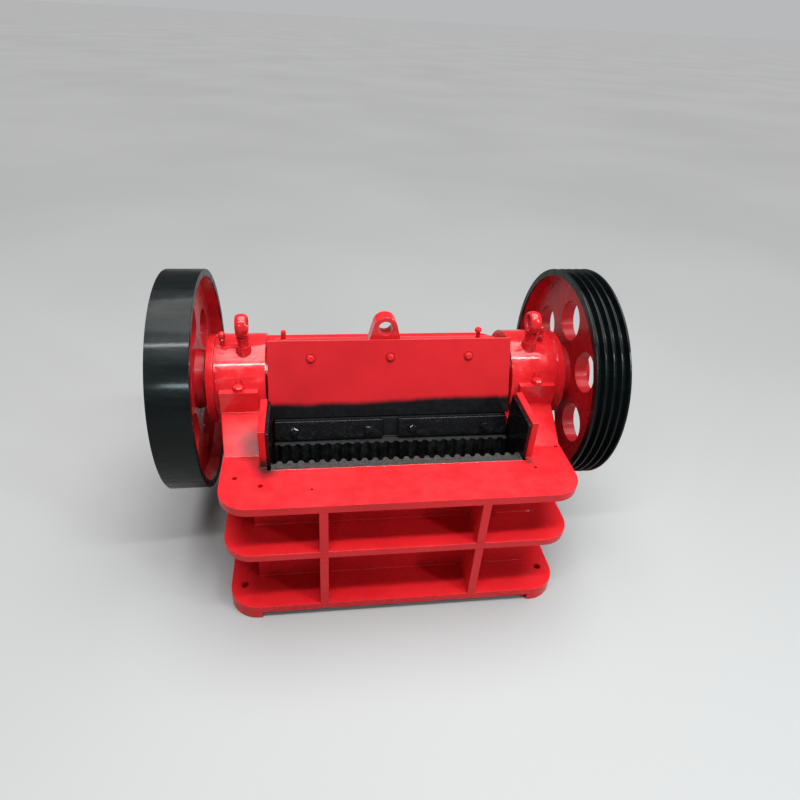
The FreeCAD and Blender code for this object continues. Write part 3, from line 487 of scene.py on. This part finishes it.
# %% Round and paint the rest
castings = both("bearing_housing") + both("bearing_saddle") + both("bearing_cover")
for node in castings:
    rounded(node, 0.0022, casting_red)
for node in both("front_ramp") + both("rear_ramp"):
    rounded(node, 0.0020, plate_red)
rounded("lifting_lug", 0.0040, casting_red, 3)
rounded("head_plate", 0.0018, head_red)
rounded("swing_jaw", 0.0030, head_red)
for node in both("clamp_bar"):
    rounded(node, 0.0018, black_gloss)
for node in both("cheek_plate"):
    rounded(node, 0.0015, black_gloss)
for node in ("flywheel", "drive_pulley"):
    rounded(node, 0.0014, rim_paint)
print(len(pieces), "pieces;", sum(len(p.data.polygons) for p in pieces.values()), "faces")

# %% [markdown]
# ## Nodes that stay as they are
# The eye bolts, the jaw plates, the shaft and the parts under the jaw have the right shape already. Each
# keeps its CAD mesh and only takes a finish, by putting the material in its slots.

# %% Paint the CAD nodes that stay
kept = {node: casting_red for node in both("eye_bolt")}
kept["fixed_jaw_plate"] = fixed_steel
kept["moving_jaw_plate"] = moving_steel
kept["shaft"] = turned_steel
for node in ["toggle_plate", "toggle_seat", "adjusting_wedge", "rod_lugs"] + both("tension_rod"):
    kept[node] = forged_steel
for node, paint in kept.items():
    mesh = frame["nodes"][node].data
    mesh.materials.clear()
    mesh.materials.append(paint)
print(len(kept), "nodes keep their mesh")

# %% [markdown]
# ## Growing repeated parts with Geometry Nodes
# Bolts, weld beads and springs all follow one rule many times over. Each rule becomes a small tree: its
# sizes are inputs, its seed is fixed, and it ends in real geometry with a material. The class below
# stands on the same small class as the finishes. It builds a tree, grows it on a mesh of places, and
# turns the result into a plain mesh on one body.

# %% A class that grows repeated parts
class Recipe(Network):
    """A Geometry Nodes tree with named inputs."""

    def __init__(self, name, **sizes):
        self.tree = bpy.data.node_groups.new(name, "GeometryNodeTree")
        face = self.tree.interface
        face.new_socket("Places", in_out="INPUT", socket_type="NodeSocketGeometry")
        for label, value in sizes.items():
            kind = "NodeSocketInt" if isinstance(value, int) else "NodeSocketFloat"
            face.new_socket(label, in_out="INPUT", socket_type=kind).default_value = value
        face.new_socket("Paint", in_out="INPUT", socket_type="NodeSocketMaterial")
        face.new_socket("Result", in_out="OUTPUT", socket_type="NodeSocketGeometry")
        self.given = self.node("NodeGroupInput").outputs

    def facing(self):
        """The turn that lays Z along the direction kept with each place."""
        kept = self.node("GeometryNodeInputNamedAttribute", {"Name": "facing"}, data_type="FLOAT_VECTOR")
        inputs = {"Vector": kept.outputs[0]}
        return self.node("FunctionNodeAlignRotationToVector", inputs, axis="Z").outputs[0]

    def close(self, result):
        real = self.node("GeometryNodeRealizeInstances", {0: result}).outputs[0]
        painted = self.node("GeometryNodeSetMaterial", {"Geometry": real, "Material": self.given["Paint"]})
        self.node("NodeGroupOutput", {"Result": painted.outputs[0]})

    def grow(self, name, places, body, slot, paint, **sizes):
        source = bpy.data.objects.new(name + "_places", places)
        bpy.context.scene.collection.objects.link(source)
        modifier = source.modifiers.new("grow", "NODES")
        modifier.node_group = self.tree
        for item in self.tree.interface.items_tree:
            if item.in_out == "INPUT" and item.name in sizes:
                modifier[item.identifier] = sizes[item.name]
            if item.name == "Paint":
                modifier[item.identifier] = paint
        piece = plain_mesh(source, name)
        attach(piece, body)
        return piece


def places_mesh(name, places):
    """Points with the direction that each one faces."""
    mesh = bpy.data.meshes.new(name)
    mesh.from_pydata([tuple(point) for point, direction in places], [], [])
    facing = mesh.attributes.new("facing", "FLOAT_VECTOR", "POINT")
    facing.data.foreach_set("vector", [part for point, direction in places for part in direction])
    return mesh


print("recipes end in Realize Instances and Set Material")

# %% [markdown]
# ## Hex bolts
# A bolt here is a washer and a six-sided head whose top edge is chamfered: a cylinder with six sides, its
# top pushed up a little and scaled in. Instances stand on points, turn to face the way the point faces,
# and each gets its own random turn about its axis, as real bolts do.

# %% Build the bolt recipe
HEAD_SHARE, CHAMFER_SHARE, CHAMFER_SCALE = 0.82, 0.18, 0.80
bolt = Recipe("hex_bolts", Across=0.020, Height=0.010, Washer=0.014, Plate=0.003, Seed=1)
given = bolt.given
body_height = bolt.calculate("MULTIPLY", given["Height"], HEAD_SHARE)
corner_radius = bolt.calculate("DIVIDE", given["Across"], math.sqrt(3.0))
head = bolt.node("GeometryNodeMeshCylinder", {"Vertices": 6, "Radius": corner_radius, "Depth": body_height})
chamfer = bolt.node("GeometryNodeExtrudeMesh", {
    "Mesh": head.outputs["Mesh"], "Selection": head.outputs["Top"],
    "Offset Scale": bolt.calculate("MULTIPLY", given["Height"], CHAMFER_SHARE)})
drawn_in = bolt.node("GeometryNodeScaleElements", {
    "Geometry": chamfer.outputs["Mesh"], "Selection": chamfer.outputs["Top"], "Scale": CHAMFER_SCALE})
lift = bolt.node("ShaderNodeCombineXYZ", {2: bolt.calculate(
    "ADD", bolt.calculate("MULTIPLY", body_height, 0.5), given["Plate"])})
raised = bolt.node("GeometryNodeTransform", {
    "Geometry": drawn_in.outputs[0], "Translation": lift.outputs[0]})
washer = bolt.node("GeometryNodeMeshCylinder", {
    "Vertices": 28, "Radius": given["Washer"], "Depth": bolt.calculate("MULTIPLY", given["Plate"], 2.0)})
together = bolt.node("GeometryNodeJoinGeometry")
bolt.tree.links.new(raised.outputs[0], together.inputs[0])
bolt.tree.links.new(washer.outputs["Mesh"], together.inputs[0])
aimed = bolt.facing()
angle = bolt.node("FunctionNodeRandomValue", {2: 0.0, 3: math.pi / 3, "Seed": given["Seed"]})
spin = bolt.node("FunctionNodeAxisAngleToRotation", {"Axis": (0.0, 0.0, 1.0), "Angle": angle.outputs[1]})
turned_bolt = bolt.node("FunctionNodeRotateRotation", {
    "Rotation": aimed, "Rotate By": spin.outputs[0]}, rotation_space="LOCAL")
stood = bolt.node("GeometryNodeInstanceOnPoints", {
    "Points": given["Places"], "Instance": together.outputs[0], "Rotation": turned_bolt.outputs[0]})
bolt.close(stood.outputs[0])
print("bolt recipe has", len(bolt.tree.nodes), "nodes")

# %% [markdown]
# ## Where the bolts go
# Three bolts hold the head plate and two hold each clamp bar, at the places on the sloped face that were
# found above. One stands on each ear of a housing, front and back, and six close each bearing cover. The
# ears' bolts face up, and the covers' face out along the shaft.

# %% Bolt the jaw
bolt.grow("head_plate_bolts", places_mesh("head_plate_points", plate_bolts), "jaw", "red_paint",
          casting_red, Across=0.018, Height=0.007, Washer=0.0128, Plate=0.0022, Seed=3)
bolt.grow("clamp_bar_bolts", places_mesh("clamp_bar_points", bar_bolts), "jaw", "black_paint",
          black_gloss, Across=0.023, Height=0.009, Washer=0.0175, Plate=0.0035, Seed=5)
print(len(plate_bolts), "on the head plate and", len(bar_bolts), "on the bars")

# %% Bolt the bearings
EAR_X, EAR_REACH, EAR_TOP = 0.476, 0.144, 0.573
COVER_CIRCLE, COVER_BOLTS = 0.122, 6
upward = Vector((0.0, 0.0, 1.0))
ear_bolts = [(Vector((side * EAR_X, SHAFT_Y + reach, EAR_TOP)), upward)
             for side in (-1, 1) for reach in (-EAR_REACH, EAR_REACH)]
bolt.grow("ear_bolts", places_mesh("ear_points", ear_bolts), "frame", "red_paint",
          casting_red, Across=0.030, Height=0.013, Washer=0.0164, Plate=0.0025, Seed=8)

cover_bolts = []
for side, node in ((-1, "bearing_cover_left"), (1, "bearing_cover_right")):
    face_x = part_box(node)[0].x if side < 0 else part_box(node)[1].x
    for number in range(COVER_BOLTS):
        around = math.radians(30 + 360 / COVER_BOLTS * number)
        circle = COVER_CIRCLE * Vector((0.0, math.cos(around), math.sin(around)))
        cover_bolts.append((axis_point + Vector((face_x, 0.0, 0.0)) + circle, Vector((side, 0.0, 0.0))))
bolt.grow("cover_bolts", places_mesh("cover_points", cover_bolts), "frame", "red_paint",
          casting_red, Across=0.016, Height=0.006, Washer=0.0110, Plate=0.0010, Seed=12)
print(len(ear_bolts), "on the ears and", len(cover_bolts), "on the covers")

# %% [markdown]
# ## Weld beads
# The frame is welded by hand: a bead runs in every corner where a wall meets a flange or a rib. A bead
# follows a path, so the recipe sweeps a small circle along it, and makes the circle swell and shrink
# with the ripples of the puddle and with slow noise from the welder's hand. The paint covers it all.

# %% Build the weld recipe
weld = Recipe("weld_beads", Radius=0.005, Step=0.0035, Ripple=0.006, Wander=0.0006, Seed=1)
given = weld.given
path = weld.node("GeometryNodeMeshToCurve", {"Mesh": given["Places"]})
close_points = weld.node("GeometryNodeResampleCurve", {
    "Curve": path.outputs[0], "Length": given["Step"]}, mode="LENGTH")
where = weld.node("GeometryNodeInputPosition")
seed = weld.calculate("MULTIPLY", given["Seed"], 3.7)
hand = weld.node("ShaderNodeTexNoise", {
    "Vector": where.outputs[0], "W": seed, "Scale": 38.0, "Detail": 2.0}, noise_dimensions="4D")
along = weld.node("GeometryNodeSplineParameter").outputs["Length"]
turns = weld.calculate("DIVIDE", weld.calculate("MULTIPLY", along, 2 * math.pi), given["Ripple"])
ripple = weld.calculate("MULTIPLY", weld.calculate("SINE", turns), 0.10)
swell = weld.calculate("ADD", weld.calculate("MULTIPLY", hand.outputs["Fac"], 0.9), 0.50)
size = weld.calculate("MULTIPLY", weld.calculate("ADD", swell, ripple), given["Radius"])
shaken = weld.node("ShaderNodeVectorMath", {
    0: hand.outputs["Color"], 1: (0.5, 0.5, 0.5)}, operation="SUBTRACT")
small = weld.node("ShaderNodeVectorMath", {
    0: shaken.outputs[0], "Scale": given["Wander"]}, operation="SCALE")
moved = weld.node("GeometryNodeSetPosition", {
    "Geometry": close_points.outputs[0], "Offset": small.outputs[0]})
ring = weld.node("GeometryNodeCurvePrimitiveCircle", {"Resolution": 8, "Radius": 1.0})
swept = weld.node("GeometryNodeCurveToMesh", {
    "Curve": moved.outputs[0], "Profile Curve": ring.outputs[0], "Scale": size, "Fill Caps": True})
smooth = weld.node("GeometryNodeSetShadeSmooth", {"Geometry": swept.outputs[0]})
weld.close(smooth.outputs[0])


def paths_mesh(name, runs):
    """A mesh of edges from straight runs, each a list of points."""
    points, edges = [], []
    for run in runs:
        edges += [(len(points) + i, len(points) + i + 1) for i in range(len(run) - 1)]
        points += [tuple(point) for point in run]
    mesh = bpy.data.meshes.new(name)
    mesh.from_pydata(points, edges, [])
    return mesh


print("weld recipe has", len(weld.tree.nodes), "nodes")

# %% [markdown]
# ## Laying the beads
# The corners come from the walls', ribs' and flanges' own boxes. Each bay of the frame has a bead along
# the flange above and below it, and up both sides of each rib, in front, behind and at both sides.

# %% Weld the frame's bays
def spans(low, high, blocked, half):
    """The stretches between low and high that the blocked places leave, half a thickness each side."""
    edges = [value for place in sorted(blocked) for value in (place - half, place + half)]
    marks = [low] + edges + [high]
    return list(zip(marks[0::2], marks[1::2]))


wall_low, wall_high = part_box("front_wall")
flange = {name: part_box(name + "_flange") for name in ("bottom", "middle", "top")}
bays = [(flange["bottom"][1].z, flange["middle"][0].z), (flange["middle"][1].z, flange["top"][0].z)]
rib_low, rib_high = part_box("front_rib_left")
rib_x, rib_half = abs(rib_low.x + rib_high.x) / 2, (rib_high.x - rib_low.x) / 2
side_x = -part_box("side_plate_left")[0].x
SIDE_RIB_Y, SIDE_RUN_END, SIDE_RIB_REACH = 0.228, 0.337, 0.502
STOPS_SHORT = 0.012
runs = []
for low_z, high_z in bays:
    for end in (-1, 1):
        wall_y = end * abs(wall_low.y)
        for z in (low_z, high_z):
            for x0, x1 in spans(wall_low.x, wall_high.x, (-rib_x, rib_x), rib_half):
                runs.append([(x0, wall_y, z), (x1, wall_y, z)])
        for side in (-1, 1):
            for edge in (-rib_half, rib_half):
                x = side * rib_x + edge
                runs.append([(x, wall_y, low_z), (x, wall_y, high_z)])
                for z in (low_z, high_z):
                    runs.append([(x, wall_y, z), (x, end * (abs(rib_low.y) - STOPS_SHORT), z)])
end_runs = len(runs)
for low_z, high_z in bays:
    for side in (-1, 1):
        upper = low_z > flange["middle"][0].z
        blocked = (-SIDE_RIB_Y, SHAFT_Y, SIDE_RIB_Y) if upper else (-SIDE_RIB_Y, SIDE_RIB_Y)
        for z in (low_z, high_z):
            for y0, y1 in spans(-SIDE_RUN_END, SIDE_RUN_END, blocked, rib_half):
                runs.append([(side * side_x, y0, z), (side * side_x, y1, z)])
        for place in blocked:
            for edge in (-rib_half, rib_half):
                y = place + edge
                runs.append([(side * side_x, y, low_z), (side * side_x, y, high_z)])
                for z in (low_z, high_z):
                    runs.append([(side * side_x, y, z), (side * SIDE_RIB_REACH, y, z)])
weld.grow("frame_welds", paths_mesh("frame_corners", runs), "frame", "red_paint", casting_red,
          Radius=0.0042, Step=0.0045, Ripple=0.011, Wander=0.0010, Seed=2)
print(end_runs, "runs on the ends and", len(runs) - end_runs, "on the sides,",
      len(pieces["frame_welds"].data.polygons), "faces")

# %% [markdown]
# ## Beads round the mouth
# On top, thinner beads join the fixed plate's wall to the flange, the side plates to the flange, and the
# sloped ramps to both. They show clearly from above, because the ramp's toe bead is wide and flat.

# %% Weld round the mouth
top_z = flange["top"][1].z
toe_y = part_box("front_ramp_left")[0].y
behind_plate_y, side_end_y = -0.3385, -0.3255
ramp_seams = [
    ((0.406, toe_y, top_z), (0.511, toe_y, top_z)),
    ((0.407, -0.196, 0.4805), (0.407, -0.118, 0.5005)),
    ((0.412, -0.1165, 0.5010), (0.532, -0.1165, 0.5010))]
mouth_runs = [[(-0.374, behind_plate_y, top_z), (0.374, behind_plate_y, top_z)]]
for side in (-1, 1):
    mouth_runs.append([(side * side_x, side_end_y + 0.0005, top_z), (side * side_x, toe_y, top_z)])
    mouth_runs.append([(side * 0.386, side_end_y, top_z), (side * 0.404, side_end_y, top_z)])
    for seam in ramp_seams:
        mouth_runs.append([(side * x, y, z) for x, y, z in seam])
    for seam in ramp_seams:
        mouth_runs.append([(side * x, 2 * SHAFT_Y - y, z) for x, y, z in seam])
weld.grow("mouth_welds", paths_mesh("mouth_corners", mouth_runs), "frame", "red_paint", casting_red,
          Radius=0.0026, Step=0.0035, Ripple=0.008, Wander=0.0010, Seed=7)
print(len(mouth_runs), "runs,", len(pieces["mouth_welds"].data.polygons), "faces")

# %% [markdown]
# ## Springs on the tension rods
# Each rod pulls the jaw back on the toggle through a coil spring behind the rear wall. In the CAD the
# spring is a plain sleeve that holds its room. Here a spiral curve is swept with the wire's circle and
# stood on each rod, and the real coils stand for both sleeves.

# %% Coil the springs
FIRST_TURN = 0.0046
coil = Recipe("coil_springs", Radius=0.0255, Wire=0.0044, Length=0.066, Turns=5.5)
given = coil.given
spiral = coil.node("GeometryNodeCurveSpiral", {
    "Resolution": 28, "Rotations": given["Turns"], "Start Radius": given["Radius"],
    "End Radius": given["Radius"], "Height": given["Length"]})
wire = coil.node("GeometryNodeCurvePrimitiveCircle", {"Resolution": 12, "Radius": given["Wire"]})
wound = coil.node("GeometryNodeCurveToMesh", {
    "Curve": spiral.outputs[0], "Profile Curve": wire.outputs[0], "Fill Caps": True})
soft = coil.node("GeometryNodeSetShadeSmooth", {"Geometry": wound.outputs[0]})
stood = coil.node("GeometryNodeInstanceOnPoints", {
    "Points": given["Places"], "Instance": soft.outputs[0], "Rotation": coil.facing()})
coil.close(stood.outputs[0])
spring_places = []
for node in both("tension_spring"):
    low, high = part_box(node)
    middle = (low + high) / 2
    foot = Vector((middle.x, low.y + FIRST_TURN, middle.z))
    spring_places.append((foot, Vector((0.0, 1.0, 0.0))))
springs = coil.grow("tension_springs", places_mesh("spring_points", spring_places), "frame",
                    "dark_steel", forged_steel)
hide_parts(*both("tension_spring"))
print("springs:", len(springs.data.polygons), "faces")

# %% [markdown]
# ## Grease fittings and oil plugs
# A grease cup stands beside each lifting eye and two small plugs stand on the jaw's head. All four are
# turned shapes, so a list of radius and height pairs, in millimetres, is spun about an axis into rings of
# faces, closed by a point at each end.

# %% Turn the small fittings
def turned_mesh(name, profile, base, direction, sides=28):
    """A closed turned shape: profile is (radius, height) pairs from the base up."""
    z = direction.normalized()
    x = z.orthogonal().normalized()
    y = z.cross(x)
    points = [tuple(base + z * profile[0][1])]
    for radius, height in profile:
        for number in range(sides):
            angle = 2 * math.pi * number / sides
            out = math.cos(angle) * x + math.sin(angle) * y
            points.append(tuple(base + z * height + radius * out))
    points.append(tuple(base + z * profile[-1][1]))
    last = len(points) - 1
    faces = []
    for number in range(sides):
        after = (number + 1) % sides
        faces.append((0, 1 + after, 1 + number))
        for ring_number in range(len(profile) - 1):
            low = 1 + ring_number * sides
            faces.append((low + number, low + after, low + sides + after, low + sides + number))
        top = 1 + (len(profile) - 1) * sides
        faces.append((top + number, top + after, last))
    mesh = bpy.data.meshes.new(name)
    mesh.from_pydata(points, [], faces)
    mesh.shade_smooth()
    mesh.set_sharp_from_angle(angle=math.radians(38))
    return mesh


def fitting(name, profile, base, direction, body):
    mesh = turned_mesh(name, [(r / 1000, h / 1000) for r, h in profile], Vector(base), Vector(direction))
    mesh.materials.append(casting_red)
    piece = bpy.data.objects.new(name, mesh)
    bpy.context.scene.collection.objects.link(piece)
    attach(piece, body)
    pieces[name] = piece


dome = [(7, -14), (7, 18), (10, 19), (10, 22), (8, 24), (8, 28), (12, 30), (12.5, 36), (11, 41), (7, 45),
        (2, 47)]
tall_cup = [(7, -14), (7, 12), (11, 13), (11, 20), (7, 22), (6, 34), (9, 36), (9.5, 44), (7.5, 50), (3, 52)]
stud = [(13, -6), (13, 22), (11.5, 24), (8, 25), (8, 50), (7, 53), (2, 54)]
plug = [(13, -6), (13, 20), (11.5, 22), (7, 23), (7, 43), (11, 45), (11, 52), (9, 55), (2, 56)]
housing_skin = SHAFT_Z + 0.142
head_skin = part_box("swing_jaw")[1].z - 0.002
fitting("grease_cup_left", dome, (-0.526, 0.010, housing_skin), (0, 0, 1), "frame")
fitting("grease_cup_right", tall_cup, (0.505, 0.010, housing_skin), (0, 0, 1), "frame")
fitting("jaw_stud_left", stud, (-0.339, 0.030, head_skin), (0.02, 0, 1), "jaw")
fitting("jaw_plug_right", plug, (0.302, 0.030, head_skin), (-0.14, 0, 1), "jaw")
print("4 fittings of", len(pieces["grease_cup_left"].data.polygons), "faces or so")

# %% [markdown]
# ## Floor, sky and lights
# The machine stands on a plain pale floor under soft light. One lamp overhead does most of the work: a
# sun with a very wide disc, as even as a workshop's roof. A long narrow lamp gives the bright streak
# along the housings, and two small ones in front lift the wheels' black rims. The sky is grey. It fills
# the shadows weakly, and looks paler where it shows behind the floor than the light it gives.

# %% Build the stage
floor_mesh = bpy.data.meshes.new("floor")
corners = [(-300, -300, 0), (300, -300, 0), (300, 300, 0), (-300, 300, 0)]
floor_mesh.from_pydata(corners, [], [(0, 1, 2, 3)])
floor_finish = Finish("pale_floor", Roughness=0.75)
cloudy = floor_finish.fade(floor_finish.noise(0.35, 2.0), 0.3, 0.7)
floor_colour = floor_finish.mix(cloudy, (0.290, 0.290, 0.292), (0.315, 0.315, 0.317))
floor_mesh.materials.append(floor_finish.finish(floor_colour))
floor = bpy.data.objects.new("floor", floor_mesh)
bpy.context.scene.collection.objects.link(floor)

world = bpy.data.worlds.new("pale sky")
world.use_nodes = True
SKY_LIGHT, SKY_SEEN = 0.20, 0.60
sky = Network()
sky.tree = world.node_tree
background = sky.tree.nodes["Background"]
background.inputs["Color"].default_value = (0.80, 0.81, 0.82, 1.0)
rays = sky.node("ShaderNodeLightPath")
seen = sky.node("ShaderNodeMapRange", {
    "Value": rays.outputs["Is Camera Ray"], "To Min": SKY_LIGHT, "To Max": SKY_SEEN})
sky.tree.links.new(seen.outputs[0], background.inputs["Strength"])
bpy.context.scene.world = world
bpy.context.scene.view_settings.view_transform = "Standard"
print("floor at z = 0, sky strength", SKY_LIGHT)

# %% Hang the lights
def lamp(name, place, target, width, depth, power, colour=(1.0, 1.0, 1.0)):
    light = bpy.data.lights.new(name, "AREA")
    light.shape = "RECTANGLE"
    light.size, light.size_y, light.energy, light.color = width, depth, power, colour
    holder = bpy.data.objects.new(name, light)
    bpy.context.scene.collection.objects.link(holder)
    aim = (Vector(target) - Vector(place)).to_track_quat("-Z", "Y")
    holder.matrix_world = Matrix.Translation(place) @ aim.to_matrix().to_4x4()


roof = bpy.data.lights.new("roof light", "SUN")
roof.energy, roof.angle = 4.1, math.radians(55.0)
roof_holder = bpy.data.objects.new("roof light", roof)
bpy.context.scene.collection.objects.link(roof_holder)
roof_holder.rotation_euler = (math.radians(-8.0), math.radians(6.0), 0.0)
lamp("strip light", (0.1, -1.25, 3.3), (0.0, -0.1, 0.60), 3.2, 0.14, 90.0)
lamp("front light", (-1.3, -3.3, 2.1), (-0.1, 0.0, 0.5), 0.34, 0.20, 11.0, (0.80, 0.98, 1.0))
lamp("right light", (2.3, -2.2, 2.4), (0.5, 0.0, 0.55), 0.25, 0.9, 42.0, (0.82, 1.0, 0.97))
